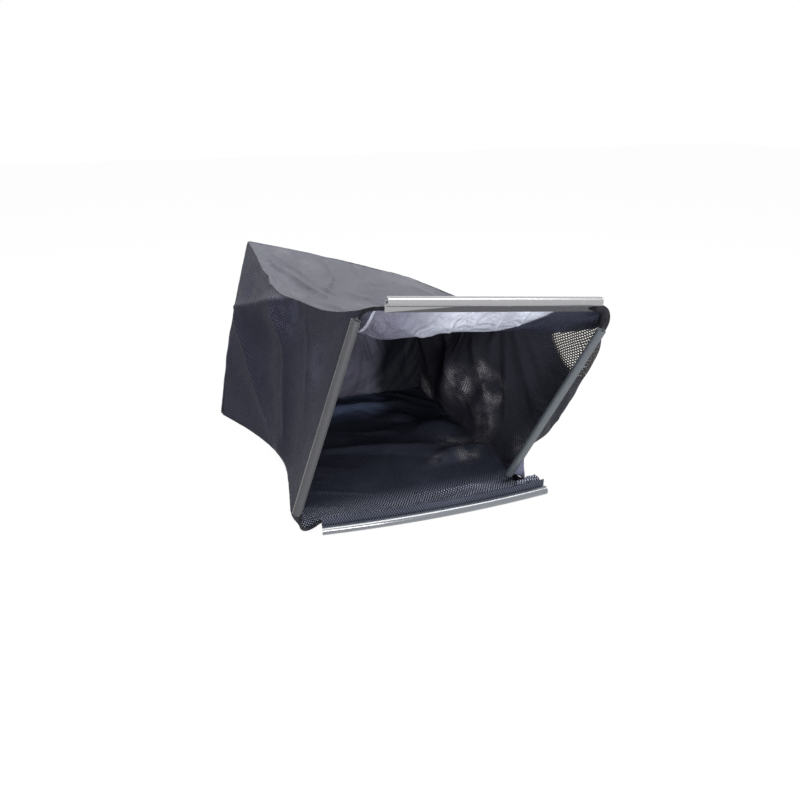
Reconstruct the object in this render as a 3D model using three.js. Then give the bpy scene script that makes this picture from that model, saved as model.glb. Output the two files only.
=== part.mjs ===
// Grass collection bag of a walk-behind mower: the loose cloth bag with its four clip-on edge
// channels, standing on the floor without the wire frame that it is clipped to in use.
// The bag is slack, so its mouth leans to the right and its back right corner has sunk.
// Millimetres. X runs across the mouth, Y from the mouth to the back, Z up from the floor.
// The origin is on the floor under the middle of the bag.

import * as THREE from "three";

const { Vector3 } = THREE;
const point = (x, y, z) => new Vector3(x, y, z);
const degrees = THREE.MathUtils.degToRad;
const { smoothstep } = THREE.MathUtils;

// Cloth, bound seams and the tape round the mouth
const clothThickness = 1.2;
const seatGap = 0.3;
const seamRadius = 2.2;
const bindingWidth = 6;
const bindingThickness = 3;

// Channel: a split plastic tube that clips over the frame's wire, with a flange to sew through
const channelRadius = 7.6;
const channelWall = 1.7;
const slotAngle = 70;
const flangeReach = 10;
const flangeThickness = 1.4;
const buttGap = 0.2;

// Where the four channels lie, by the ends of their centre lines
const mouthY = -245;
const topHeight = 373;
const topSlope = 32;
const topLeftX = -94;
const topRightX = 253;
const bottomHalfLength = 196;
const bottomBow = 11;
const leftFootX = -234;
const leftFootHeight = 45;
const leftHeadX = -135;
const leftHeadHeight = 346;
const rightFootX = 147;
const rightFootHeight = 24;
const rightHeadX = 247;
const rightHeadHeight = 301;

// Back corners of the bag
const backY = 270;
const backTopLeft = point(-215, backY - 32, 369);
const backTopRight = point(131, backY - 7, 263);
const backBottomLeft = point(-297, backY, seamRadius);
const backBottomRight = point(150, backY, seamRadius);

// Colours of the materials
const materials = {
  channel: new THREE.MeshStandardMaterial({ color: 0x8b8e93, roughness: 0.32, metalness: 0.1 }),
  darkChannel: new THREE.MeshStandardMaterial({ color: 0x5c5f66, roughness: 0.45, metalness: 0 }),
  coatedCloth: new THREE.MeshStandardMaterial({ color: 0x55565e, roughness: 0.7, metalness: 0 }),
  meshCloth: new THREE.MeshStandardMaterial({ color: 0x2e3038, roughness: 0.85, metalness: 0 }),
  tape: new THREE.MeshStandardMaterial({ color: 0x1d1e24, roughness: 0.9, metalness: 0 }),
};

const group = new THREE.Group();

function add(name, geometry, material) {
  geometry.computeVertexNormals();
  const mesh = new THREE.Mesh(geometry, material);
  mesh.name = name;
  group.add(mesh);
}

// Moves every vertex of a plain solid to where place(x, y, z) puts it.
function bend(geometry, place) {
  const position = geometry.getAttribute("position");
  for (let i = 0; i < position.count; i += 1) {
    const moved = place(position.getX(i), position.getY(i), position.getZ(i));
    position.setXYZ(i, moved.x, moved.y, moved.z);
  }
  return geometry;
}

// Channels

// The section, with x pointing away from the sewing flange and y to the front: a split ring, open at
// the rear of the side away from the flange, whose rear wall runs on as the flange.
function channelSection() {
  const inner = channelRadius - channelWall;
  const slotStart = degrees(-90);
  const slotEnd = slotStart + degrees(slotAngle);
  const flangeFront = flangeThickness - channelRadius;
  const flangeRoot = Math.PI + Math.asin(-flangeFront / channelRadius);
  const flangeEnd = -channelRadius - flangeReach;
  const shape = new THREE.Shape();
  shape.absarc(0, 0, channelRadius, slotEnd, flangeRoot, false);
  shape.lineTo(flangeEnd, flangeFront);
  shape.lineTo(flangeEnd, -channelRadius);
  shape.lineTo(0, -channelRadius);
  shape.lineTo(0, -inner);
  shape.absarc(0, 0, inner, slotStart + 2 * Math.PI, slotEnd, true);
  return shape;
}

// A channel between two points, with its flange and its front turned to a side each and its middle
// bowed to the front.
function channelLine(start, end, flangeSide, frontSide, bow = 0) {
  const along = end.clone().sub(start).normalize();
  const outward = along.clone().multiplyScalar(flangeSide.dot(along)).sub(flangeSide).normalize();
  const forward = new Vector3().crossVectors(along, outward);
  if (forward.dot(frontSide) < 0) forward.negate();
  const middle = start.clone().add(end).multiplyScalar(0.5).addScaledVector(forward, 2 * bow);
  const centre = new THREE.QuadraticBezierCurve3(start, middle, end);
  // A point of the section at share s of the length.
  const at = (s, x, y) => {
    const square = new Vector3().crossVectors(centre.getTangent(s), outward);
    if (square.dot(forward) < 0) square.negate();
    return centre.getPoint(s).addScaledVector(outward, x).addScaledVector(square, y);
  };
  return { centre, at, length: centre.getLength() };
}

// A channel's solid, or the part of it between two shares of its length.
function channelSolid(line, steps, from = 0, to = 1) {
  const options = { depth: 1, steps, bevelEnabled: false, curveSegments: 12 };
  const plain = new THREE.ExtrudeGeometry(channelSection(), options);
  return faceOut(bend(plain, (x, y, z) => line.at(from + (to - from) * z, x, y)));
}

// A long channel comes in two lengths that butt at the middle.
function addHalves(names, line, steps) {
  const gapShare = buttGap / 2 / line.length;
  add(names[0], channelSolid(line, steps, 0, 0.5 - gapShare), materials.channel);
  add(names[1], channelSolid(line, steps, 0.5 + gapShare, 1), materials.channel);
}

// Turns the faces of a mirrored solid round.
function faceOut(geometry) {
  const position = geometry.getAttribute("position");
  const corner = [new Vector3(), new Vector3(), new Vector3()];
  let volume = 0;
  for (let i = 0; i < position.count; i += 3) {
    corner.forEach((c, k) => c.fromBufferAttribute(position, i + k));
    volume += corner[0].dot(corner[1].clone().cross(corner[2]));
  }
  if (volume < 0) {
    for (let i = 0; i < position.count; i += 3) {
      corner.forEach((c, k) => c.fromBufferAttribute(position, i + k));
      position.setXYZ(i + 1, corner[2].x, corner[2].y, corner[2].z);
      position.setXYZ(i + 2, corner[1].x, corner[1].y, corner[1].z);
    }
  }
  return geometry;
}

const topLine = channelLine(
  point(topLeftX, mouthY - 20, topHeight),
  point(topRightX, mouthY - 18, topHeight - topSlope),
  point(0, 0, -1),
  point(0, -1, 0),
);
const bottomLine = channelLine(
  point(bottomHalfLength, mouthY, channelRadius),
  point(-bottomHalfLength, mouthY, channelRadius),
  point(0, 0, 1),
  point(0, -1, 0),
  bottomBow,
);
const leftLine = channelLine(
  point(leftFootX, mouthY + 1, leftFootHeight),
  point(leftHeadX, mouthY - 7, leftHeadHeight),
  point(-0.05, 1, 0),
  point(-1, 0, 0),
);
const rightLine = channelLine(
  point(rightHeadX, mouthY - 38, rightHeadHeight),
  point(rightFootX, mouthY + 42, rightFootHeight),
  point(0.2, 0.98, 0),
  point(-1, 0, 0),
);

const bowSteps = 10;
addHalves(["top_channel_left", "top_channel_right"], topLine, 1);
addHalves(["bottom_channel_right", "bottom_channel_left"], bottomLine, bowSteps / 2);
add("left_channel", channelSolid(leftLine, 1), materials.darkChannel);
add("right_channel", channelSolid(rightLine, 1), materials.darkChannel);

// Mouth binding: one tape right round the mouth, sewn behind the flanges and bare at the corners

const sewX = -channelRadius - flangeReach / 2;
const sewY = -channelRadius - seatGap - bindingThickness / 2;
const turnPieces = 8;

// The tape's stops along a channel, between two shares of its length.
function sewnRun(line, from, to, pieces) {
  return Array.from({ length: pieces + 1 }, (_, i) => {
    const s = from + ((to - from) * i) / pieces;
    const at = line.at(s, sewX, sewY);
    const facing = line.at(s, sewX, sewY + 1).sub(at);
    return { at, facing, along: line.centre.getTangent(s) };
  });
}

// The tape's stops round a corner, from the end of one run to the start of the next. It bulges out
// by leave and arrive, sinks by drop, and turns its front to the inward side half way.
function turn(before, after, leave, arrive, inward, drop = 0) {
  const start = before.at(-1);
  const end = after[0];
  const path = new THREE.CubicBezierCurve3(
    start.at,
    start.at.clone().addScaledVector(start.along, leave),
    end.at.clone().addScaledVector(end.along, -arrive),
    end.at,
  );
  path.v1.z -= drop;
  path.v2.z -= drop;
  return Array.from({ length: turnPieces + 1 }, (_, i) => {
    const s = i / turnPieces;
    const slack = Math.sin(Math.PI * s);
    const facing = start.facing.clone().lerp(end.facing, s).addScaledVector(inward, slack);
    return { at: path.getPoint(s), facing, along: path.getTangent(s), slack };
  });
}

const bareShare = 0.07;
const topRun = sewnRun(topLine, 0, 1, 4);
const rightRun = sewnRun(rightLine, 2 * bareShare, 1, 4);
const bottomRun = sewnRun(bottomLine, bareShare, 1, bowSteps);
const leftRun = sewnRun(leftLine, 0, 1, 4);
const topRightTurn = turn(topRun, rightRun, 34, 34, point(-0.4, 0, -0.2));
const bottomRightTurn = turn(rightRun, bottomRun, 22, 30, point(-1.4, -0.7, 1));
const bottomLeftTurn = turn(bottomRun, leftRun, 28, 24, point(0.3, 0, 0.3), 20);
const topLeftTurn = turn(leftRun, topRun, 14, 26, point(0.3, 0, -0.3));

// The stop of each turn that the bag's long seam starts from.
const topRightCorner = 4;
const bottomRightCorner = 6;
const bottomLeftCorner = 4;
const topLeftCorner = 4;
const inner = (stops) => stops.slice(1, -1);
const mouthStops = [
  topRun, inner(topRightTurn), rightRun, inner(bottomRightTurn),
  bottomRun, inner(bottomLeftTurn), leftRun, inner(topLeftTurn),
].flat();

// A closed band through stops, flat side to their facing.
function band(stops, width, thickness, sides) {
  const count = stops.length;
  const ring = new THREE.TorusGeometry(2, 1, sides, count).toNonIndexed();
  const place = (x, y, z) => {
    const k = Math.round((Math.atan2(y, x) / (2 * Math.PI) + 1) * count) % count;
    const tangent = stops[(k + 1) % count].at.clone().sub(stops[(k + count - 1) % count].at);
    const side = new Vector3().crossVectors(tangent, stops[k].facing).normalize();
    const front = new Vector3().crossVectors(side, tangent).normalize();
    const out = (Math.hypot(x, y) - 2) * (width / 2);
    return stops[k].at.clone().addScaledVector(side, out).addScaledVector(front, z * (thickness / 2));
  };
  return faceOut(bend(ring, place));
}

add("mouth_binding", band(mouthStops, bindingWidth, bindingThickness, 6), materials.tape);

// Seams: the panels' bound edges inside the bag

// The panels start this far from the middle of a seam or of the binding.
const seamInset = seamRadius + 2 * seatGap + clothThickness / 2;
const mouthInset = bindingThickness / 2 + 2 * seatGap + clothThickness / 2;
const cornerSlack = 2.2;

const curve = (...points) => new THREE.CatmullRomCurve3(points, false, "centripetal");

// The cloth's edge behind the binding.
function mouthEdge(...lists) {
  const points = lists.flat().map(({ at, facing, along, slack = 0 }) => {
    const front = facing.clone().addScaledVector(along, -facing.dot(along)).normalize();
    return at.clone().addScaledVector(front, -mouthInset - cornerSlack * slack);
  });
  const distinct = points.filter((at, i) => i === 0 || at.distanceTo(points[i - 1]) > 0.1);
  return curve(...distinct);
}

const topMouth = mouthEdge(
  topLeftTurn.slice(topLeftCorner), topRun, topRightTurn.slice(0, topRightCorner + 1),
);
const rightMouth = mouthEdge(
  topRightTurn.slice(topRightCorner), rightRun, bottomRightTurn.slice(0, bottomRightCorner + 1),
);
const bottomMouth = mouthEdge(
  bottomRightTurn.slice(bottomRightCorner), bottomRun, bottomLeftTurn.slice(0, bottomLeftCorner + 1),
);
const leftMouth = mouthEdge(
  bottomLeftTurn.slice(bottomLeftCorner), leftRun, topLeftTurn.slice(0, topLeftCorner + 1),
);
const mouthTopLeft = topMouth.getPoint(0);
const mouthTopRight = rightMouth.getPoint(0);
const mouthBottomRight = bottomMouth.getPoint(0);
const mouthBottomLeft = leftMouth.getPoint(0);

const topLeftSeam = curve(
  mouthTopLeft,
  point(-128, mouthY + 26, 350),
  point(-146, mouthY + 130, 323),
  point(-168, mouthY + 265, 307),
  point(-187, backY - 170, 303),
  point(-200, backY - 105, 334),
  backTopLeft,
);
const topRightSeam = curve(
  mouthTopRight,
  point(276, mouthY + 20, 286),
  point(240, mouthY + 100, 256),
  point(205, mouthY + 230, 250),
  point(174, backY - 145, 255),
  point(147, backY - 75, 261),
  backTopRight,
);
const bottomRightSeam = curve(
  mouthBottomRight,
  point(174, mouthY + 36, 8),
  point(172, mouthY + 60, seamRadius + 0.5),
  point(172, mouthY + 90, seamRadius),
  point(174, mouthY + 145, seamRadius),
  point(162, backY - 190, seamRadius),
  backBottomRight,
);
const bottomLeftSeam = curve(
  mouthBottomLeft,
  point(-229, mouthY + 35, 8),
  point(-231, mouthY + 58, seamRadius + 0.5),
  point(-231, mouthY + 80, seamRadius),
  point(-226, mouthY + 110, seamRadius),
  point(-210, mouthY + 235, seamRadius),
  point(-214, backY - 225, seamRadius),
  point(-243, backY - 122, seamRadius),
  backBottomLeft,
);

// The part of a curve that is left when cut lengths are taken off its ends.
function shortened(whole, cutStart, cutEnd) {
  const length = whole.getLength();
  const from = cutStart / length;
  const to = 1 - cutEnd / length;
  return (s) => whole.getPointAt(from + (to - from) * s);
}

// The long panels and seams have their stations closer together near the mouth.
const lengthPieces = 24;
const gathered = (s) => s ** 1.35;

// A round cord along a path, closed at both ends.
function cord(path, radius, sides) {
  const plain = new THREE.CylinderGeometry(1, 1, 1, sides, lengthPieces).toNonIndexed();
  const place = (x, y, z) => {
    const s = gathered(Math.min(Math.max(y + 0.5, 0), 1));
    const tangent = path(Math.min(s + 0.01, 1)).sub(path(Math.max(s - 0.01, 0))).normalize();
    const side = new Vector3().crossVectors(tangent, point(1, 0, 0)).normalize();
    const rise = new Vector3().crossVectors(side, tangent);
    return path(s).addScaledVector(side, x * radius).addScaledVector(rise, z * radius);
  };
  return faceOut(bend(plain, place));
}

const seamStart = 3;
const seamSides = 6;
const longSeams = {
  top_left_seam: topLeftSeam,
  top_right_seam: topRightSeam,
  bottom_right_seam: bottomRightSeam,
  bottom_left_seam: bottomLeftSeam,
};
for (const [name, whole] of Object.entries(longSeams)) {
  const run = shortened(whole, seamStart, seamInset);
  add(name, cord(run, seamRadius, seamSides), materials.tape);
}

// The back panel's piping: one cord round its four edges.
const backTopEdge = curve(
  backTopLeft, point(-115, backY - 25, 341), point(-20, backY - 18, 313), backTopRight,
);
const backRightEdge = curve(backTopRight, point(152, backY + 14, 132), backBottomRight);
const backBottomEdge = curve(backBottomRight, point(-70, backY, seamRadius), backBottomLeft);
const backLeftEdge = curve(backBottomLeft, point(-262, backY - 14, 190), backTopLeft);

// Stops round a closed loop of edges, with its corners rounded.
function roundedLoop(edges, radius, spacing, facing) {
  const stops = [];
  edges.forEach((edge, i) => {
    const kept = shortened(edge, radius, radius);
    const pieces = Math.ceil(edge.getLength() / spacing);
    for (let k = 0; k <= pieces; k += 1) stops.push({ at: kept(k / pieces), facing });
    const after = shortened(edges[(i + 1) % edges.length], radius, radius)(0);
    const corner = new THREE.QuadraticBezierCurve3(kept(1), edge.getPoint(1), after);
    stops.push({ at: corner.getPoint(0.5), facing });
  });
  return stops;
}

const pipingRound = 3;
const backLoop = roundedLoop(
  [backTopEdge, backRightEdge, backBottomEdge, backLeftEdge], pipingRound, 20, point(0, 1, 0),
);
add("back_piping", band(backLoop, 2 * seamRadius, 2 * seamRadius, seamSides), materials.tape);

// Panels

// A surface ruled between a low and a high edge, and drawn at its ends to a first and a last one.
const endHold = 6;
function patch(first, last, low, high) {
  const ruled = (u, v) => low(u).lerp(high(u), v);
  return (u, v) => {
    const firstPull = first(v).sub(ruled(0, v));
    const lastPull = last(v).sub(ruled(1, v));
    return ruled(u, v)
      .addScaledVector(firstPull, (1 - u) ** endHold)
      .addScaledVector(lastPull, u ** endHold);
  };
}

// Draws a surface in from its edges by insets, and adds its folds.
function clothSurface(base, insets, relief, spread = gathered) {
  return (plainU, v) => {
    const u = spread(plainU);
    const lengthU = base(0, v).distanceTo(base(1, v));
    const lengthV = base(u, 0).distanceTo(base(u, 1));
    const startU = insets.first / lengthU;
    const s = startU + u * (1 - startU - insets.last / lengthU);
    const atMouth = 1 + (1 - u) ** endHold;
    const startV = (atMouth * insets.low) / lengthV;
    const t = startV + v * (1 - startV - (atMouth * insets.high) / lengthV);
    return relief(base(s, t), s, t);
  };
}

// A sheet of cloth on a surface.
function sheet(surface, columns, rows) {
  const plain = new THREE.BoxGeometry(1, 1, 1, columns, rows, 1).translate(0.5, 0.5, 0).toNonIndexed();
  const step = 0.004;
  const place = (u, v, w) => {
    const du = surface(Math.min(u + step, 1), v).sub(surface(Math.max(u - step, 0), v));
    const dv = surface(u, Math.min(v + step, 1)).sub(surface(u, Math.max(v - step, 0)));
    const normal = du.cross(dv).normalize();
    return surface(u, v).addScaledVector(normal, w * clothThickness);
  };
  return faceOut(bend(plain, place));
}

// Fades a fold to nothing at the edges of a panel, within a share of its width.
const fade = (t, share) => smoothstep(t, 0, share) * smoothstep(1 - t, 0, share);

// Droops fast behind the mouth and dies away towards the back.
const swell = (u, peak) => (u / peak) * Math.exp(1 - u / peak);

// The height, from 0 to 1, of a soft ridge that runs between two points of a panel.
function ridge(u, v, from, to, reach) {
  const along = new THREE.Vector2(to[0] - from[0], to[1] - from[1]);
  const offset = new THREE.Vector2(u - from[0], v - from[1]);
  const share = THREE.MathUtils.clamp(offset.dot(along) / along.lengthSq(), 0, 1);
  const distance = offset.addScaledVector(along, -share).length();
  return Math.exp(-((distance / reach) ** 2));
}

const edgeOf = (line) => (s) => line.getPointAt(s);
const reversed = (edge) => (s) => edge(1 - s);
const longInsets = { first: 0, last: seamInset, low: seamInset, high: seamInset };
const topInsets = { first: 0, last: seamInset, low: seamInset, high: seamInset + 2 };
const rightInsets = { first: 0, last: seamInset, low: seamInset - 0.6, high: seamInset + 2 };
const floorInsets = { first: 0, last: seamInset, low: seamInset + 3, high: seamInset };
const backInsets = { first: seamInset, last: seamInset, low: seamInset, high: seamInset };

// Top panel: droops behind the top channel, then spans from the high left seam to the low right one.
const topDroop = 48;
const topBase = patch(
  edgeOf(topMouth), edgeOf(backTopEdge), edgeOf(topLeftSeam), edgeOf(topRightSeam),
);
const topSurface = clothSurface(topBase, topInsets, (at, u, v) => {
  at.z -= topDroop * swell(u, 0.19) * fade(v, 0.16) * (1 - v) ** 1.5;
  at.z += 9 * ridge(u, v, [0.95, 0.02], [0.45, 0.45], 0.07) * fade(v, 0.1) * fade(u, 0.1);
  at.z -= 8 * ridge(u, v, [0.95, 0.3], [0.55, 0.75], 0.1) * fade(u, 0.1) * fade(v, 0.1);
  return at;
});
add("top_panel", sheet(topSurface, lengthPieces, 16), materials.coatedCloth);

// Left panel: buckled along three creases that meet at a pulled-in point of the bottom seam.
const creaseFoot = [0.44, 0];
const creaseKnee = [0.68, 0.9];
const creaseBack = [1, 0.62];
const leftBase = patch(
  edgeOf(leftMouth), edgeOf(backLeftEdge), edgeOf(bottomLeftSeam), edgeOf(topLeftSeam),
);
const leftSurface = clothSurface(leftBase, longInsets, (at, u, v) => {
  const kept = fade(u, 0.08) * fade(v, 0.08);
  at.x -= 9 * kept * ridge(u, v, creaseKnee, creaseBack, 0.06);
  at.x -= 10 * kept * ridge(u, v, creaseFoot, creaseBack, 0.06);
  at.x -= 10 * kept * ridge(u, v, creaseFoot, creaseKnee, 0.06);
  at.x += 7 * kept * ridge(u, v, [0.68, 0.7], [0.9, 0.7], 0.1);
  at.x += 8 * kept * ridge(u, v, [0.2, 0.2], [0.3, 0.8], 0.16);
  return at;
});
add("left_panel", sheet(leftSurface, lengthPieces, 16), materials.meshCloth);

// Right panel: flares out behind the right channel, and is dented further back where it has sunk.
const rightFlare = 38;
const rightBase = patch(
  edgeOf(rightMouth), edgeOf(backRightEdge), edgeOf(topRightSeam), edgeOf(bottomRightSeam),
);
const rightSurface = clothSurface(rightBase, rightInsets, (at, u, v) => {
  const kept = fade(u, 0.1) * fade(v, 0.1);
  at.x += rightFlare * swell(u, 0.12) * smoothstep(v, 0, 0.12) * smoothstep(1 - v, 0.2, 0.42);
  at.x -= 26 * kept * ridge(u, v, [0.55, 0.25], [0.72, 0.8], 0.13);
  at.x += 14 * kept * ridge(u, v, [0.8, 0.2], [0.9, 0.9], 0.1);
  return at;
});
add("right_panel", sheet(rightSurface, lengthPieces, 16), materials.meshCloth);

// Bottom panel: flat on the floor, rising at its edges to the seams and at the front to the channel.
const floorRise = 0.09;
const bottomBase = patch(
  edgeOf(bottomMouth), edgeOf(backBottomEdge), edgeOf(bottomRightSeam), edgeOf(bottomLeftSeam),
);
const bottomSurface = clothSurface(bottomBase, floorInsets, (at, u, v) => {
  const lying = smoothstep(u, 0, floorRise) * smoothstep(1 - u, 0, floorRise) * fade(v, floorRise);
  at.z += (clothThickness / 2 - at.z) * lying;
  return at;
});
add("bottom_panel", sheet(bottomSurface, lengthPieces, 14), materials.meshCloth);

// Back panel: sags between its two upper corners and is pushed in at the sunk right side.
const backBase = patch(
  edgeOf(backLeftEdge),
  reversed(edgeOf(backRightEdge)),
  reversed(edgeOf(backBottomEdge)),
  edgeOf(backTopEdge),
);
const backSurface = clothSurface(backBase, backInsets, (at, u, v) => {
  const kept = fade(u, 0.12) * fade(v, 0.12);
  at.y += 20 * kept * ridge(u, v, [0.2, 0.3], [0.5, 0.5], 0.3);
  at.y -= 34 * kept * ridge(u, v, [0.62, 0.35], [0.85, 0.75], 0.16);
  return at;
}, (u) => u);
add("back_panel", sheet(backSurface, 18, 14), materials.coatedCloth);

// Puts the origin on the floor under the middle of the bag.
const box = new THREE.Box3().setFromObject(group);
const middle = box.getCenter(new Vector3());
group.position.set(-middle.x, -middle.y, -box.min.z);

export default group;
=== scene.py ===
import math
import bpy
import bmesh
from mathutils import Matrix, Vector, noise
from mathutils.bvhtree import BVHTree


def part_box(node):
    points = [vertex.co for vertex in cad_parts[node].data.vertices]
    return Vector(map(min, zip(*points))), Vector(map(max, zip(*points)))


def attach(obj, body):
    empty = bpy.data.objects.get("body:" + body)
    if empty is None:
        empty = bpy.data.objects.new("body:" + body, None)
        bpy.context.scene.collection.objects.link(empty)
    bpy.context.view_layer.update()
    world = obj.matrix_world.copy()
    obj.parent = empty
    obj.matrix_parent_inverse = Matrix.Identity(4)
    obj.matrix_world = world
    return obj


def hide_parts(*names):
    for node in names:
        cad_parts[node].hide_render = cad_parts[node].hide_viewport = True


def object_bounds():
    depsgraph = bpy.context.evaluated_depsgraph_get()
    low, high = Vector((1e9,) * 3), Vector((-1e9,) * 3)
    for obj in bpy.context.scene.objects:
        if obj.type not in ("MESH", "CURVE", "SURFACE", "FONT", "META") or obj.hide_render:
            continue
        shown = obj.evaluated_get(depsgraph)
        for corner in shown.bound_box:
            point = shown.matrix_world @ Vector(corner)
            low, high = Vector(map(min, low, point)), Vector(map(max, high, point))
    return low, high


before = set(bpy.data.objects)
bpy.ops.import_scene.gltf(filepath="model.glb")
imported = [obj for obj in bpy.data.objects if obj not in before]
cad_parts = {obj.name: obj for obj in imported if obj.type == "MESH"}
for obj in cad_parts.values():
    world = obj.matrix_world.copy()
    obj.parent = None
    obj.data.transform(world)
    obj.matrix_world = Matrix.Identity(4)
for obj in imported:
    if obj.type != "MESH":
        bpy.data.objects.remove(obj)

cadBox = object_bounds()
noise.seed_set(4)  # noise_vector starts from the clock otherwise
print("frame loaded")


# One output socket of a shader node. Python's operators on it add Math nodes.
class Wire:
    def __init__(self, tree, socket):
        self.tree = tree
        self.socket = socket

    # Adds a node by its type, its settings and the values or links of its sockets.
    def make(self, kind, settings=None, sockets=None, output=0):
        node = self.tree.nodes.new(kind)
        for name, value in (settings or {}).items():
            setattr(node, name, value)
        for name, value in (sockets or {}).items():
            if isinstance(value, Wire):
                self.tree.links.new(value.socket, node.inputs[name])
            else:
                node.inputs[name].default_value = value
        return Wire(self.tree, node.outputs[output])

    def out(self, name):
        return Wire(self.tree, self.socket.node.outputs[name])

    def math(self, operation, *values):
        return self.make("ShaderNodeMath", {"operation": operation}, dict(enumerate(values)))

    def __add__(self, other):
        return self.math("ADD", self, other)

    def __radd__(self, other):
        return self.math("ADD", other, self)

    def __sub__(self, other):
        return self.math("SUBTRACT", self, other)

    def __rsub__(self, other):
        return self.math("SUBTRACT", other, self)

    def __mul__(self, other):
        return self.math("MULTIPLY", self, other)

    def __rmul__(self, other):
        return self.math("MULTIPLY", other, self)

    def __gt__(self, other):
        return self.math("GREATER_THAN", self, other)

    def cos(self):
        return self.math("COSINE", self)

    # From 0 to 1 between two values, eased at both.
    def smooth(self, low, high):
        return self.make("ShaderNodeMapRange", {"interpolation_type": "SMOOTHSTEP"},
                         {"Value": self, "From Min": low, "From Max": high})

    def noise(self, scale, detail=3.0, roughness=0.55, stretch=(1, 1, 1), turned=0.0):
        place = self.make("ShaderNodeMapping", None,
                          {"Vector": self, "Rotation": (0, 0, turned), "Scale": stretch})
        return self.make("ShaderNodeTexNoise", None,
                         {"Vector": place, "Scale": scale, "Detail": detail, "Roughness": roughness}, "Fac")

    # Short crease lines that wander over the cloth, 0 in a crease and 1 away from it.
    def creases(self, scale, stretch=(1, 1, 1), turned=0.0, width=0.045):
        field = self.noise(scale, 2, 0.5, stretch, turned) - 0.5
        broken = self.noise(scale * 1.3, 1, 0.5, (1, 1, 1), 1.0).smooth(0.46, 0.62)
        return 1 - (1 - self.math("ABSOLUTE", field).smooth(0, width)) * broken

    # Fades from 1 near a point to 0 at a distance.
    def near(self, place, reach, core=0.8):
        away = self.make("ShaderNodeVectorMath", {"operation": "DISTANCE"}, {0: self, 1: place}, "Value")
        return 1 - away.smooth(reach * core, reach)

    def bump(self, strength, distance, under=None):
        sockets = {"Height": self, "Strength": strength, "Distance": distance}
        if under:
            sockets["Normal"] = under
        return self.make("ShaderNodeBump", None, sockets, "Normal")


def mixColours(mask, first, second):
    sockets = {0: mask, 6: first, 7: second}
    return mask.make("ShaderNodeMix", {"data_type": "RGBA"}, sockets, 2)


# A colour with its fourth number, made lighter or darker by a factor.
def opaque(colour, factor=1):
    return (*(channel * factor for channel in colour), 1)


# A new material, its starting wire on Object coordinates, and a call that sets its surface.
def newMaterial(name):
    material = bpy.data.materials.new(name)
    material.use_nodes = True
    tree = material.node_tree
    shader = tree.nodes["Principled BSDF"]
    coords = Wire(tree, None).make("ShaderNodeTexCoord", output="Object")

    def surface(**sockets):
        for key, value in sockets.items():
            socket = shader.inputs[key.replace("_", " ")]
            if isinstance(value, Wire):
                tree.links.new(value.socket, socket)
            else:
                socket.default_value = value
    return material, coords, surface


def axesOf(coords):
    parts = coords.make("ShaderNodeSeparateXYZ", None, {"Vector": coords}, "X")
    return {"x": parts, "y": parts.out("Y"), "z": parts.out("Z")}


# Mesh cloth. The weave runs along two axes, with a pitch on each. The holes are open in the
# "patches", where the cloth is stretched, and wide open round one place of coarser mesh, and there
# the threads are painted lighter, painted light seen through the mesh. Dark holes are painted
# elsewhere, painted shade seen through the mesh, more strongly in the places that are "shown", whose
# threads carry a painted glint. "lit" is a painted highlight, the facet above a slanting ridge
# painted lighter as if lit from above, and "rim" is painted shade, a dark band next to the back.
meshLook = {
    "left": {
        "across": "y", "along": "z", "pitch": (0.0088, 0.0055), "weave": 0.4,
        "patches": [], "stretched": None,
        "shown": [((-0.2, 0.21, 0.285), 0.06), ((-0.17, 0.05, 0.275), 0.075), ((-0.16, -0.1, 0.22), 0.07)],
        "thread": (0.029, 0.03, 0.05), "dust": (0.038, 0.039, 0.064), "hole": (0.009, 0.009, 0.015),
        "lit": {"colour": (0.12, 0.124, 0.15), "edge": (0.316, 0.328)},
        "rim": {"colour": (0.008, 0.008, 0.012), "edge": (0.258, 0.268)},
        "wide": None,
    },
    "right": {
        "across": "y", "along": "z", "pitch": (0.0076, 0.0047), "weave": 0.35,
        "patches": [
            ((0.164, 0.224, 0.03), 0.05), ((0.162, 0.06, 0.09), 0.055), ((0.184, 0.007, 0.133), 0.035),
            ((0.2, -0.03, 0.109), 0.045), ((0.177, -0.025, 0.04), 0.05), ((0.194, -0.151, 0.061), 0.035),
            ((0.196, -0.175, 0.075), 0.035),
        ],
        "stretched": (0.055, 0.055, 0.066),
        "shown": [],
        "thread": (0.026, 0.027, 0.037), "dust": (0.036, 0.037, 0.049), "hole": (0.006, 0.006, 0.009),
        "lit": None, "rim": None,
        "wide": {"place": (0.278, -0.21, 0.257), "reach": 0.078, "edge": 0.24, "thread": (0.03, 0.03, 0.036)},
    },
    "floor": {
        "across": "x", "along": "y", "pitch": (0.0046, 0.008), "weave": 0.45,
        "patches": [
            ((0.111, -0.016, 0.0), 0.035), ((0.128, -0.072, 0.0), 0.04), ((0.065, -0.07, 0.0), 0.03),
            ((0.152, -0.025, 0.0), 0.04),
        ],
        "stretched": (0.055, 0.055, 0.066),
        "shown": [],
        "thread": (0.026, 0.028, 0.04), "dust": (0.036, 0.038, 0.052), "hole": (0.006, 0.006, 0.009),
        "lit": None, "rim": None,
        "wide": None,
    },
}
# What differs on the inner faces: lighter threads, painted light for the light that comes in through
# the mesh, and on the floor a bluish stain and a light front edge, painted light seen through its holes.
meshInside = {
    "left": {"thread": (0.04, 0.041, 0.055), "dust": (0.055, 0.056, 0.075)},
    "right": {
        "thread": (0.045, 0.046, 0.064), "dust": (0.062, 0.064, 0.087), "hole": (0.012, 0.012, 0.018),
        "stretched": (0.32, 0.3, 0.32),
        "wide": {**meshLook["right"]["wide"], "thread": (0.13, 0.115, 0.09)},
    },
    "floor": {
        "thread": (0.024, 0.027, 0.044), "dust": (0.042, 0.047, 0.072), "hole": (0.05, 0.055, 0.08),
        "weave": 0.52, "stretched": (0.2, 0.195, 0.215),
        "front": {"band": (-0.2, -0.14), "hole": (0.5, 0.53, 0.64)},
        "stained": {"band": (0.13, 0.17), "side": (0.03, 0.07), "colour": (0.12, 0.16, 0.27)},
    },
}
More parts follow.
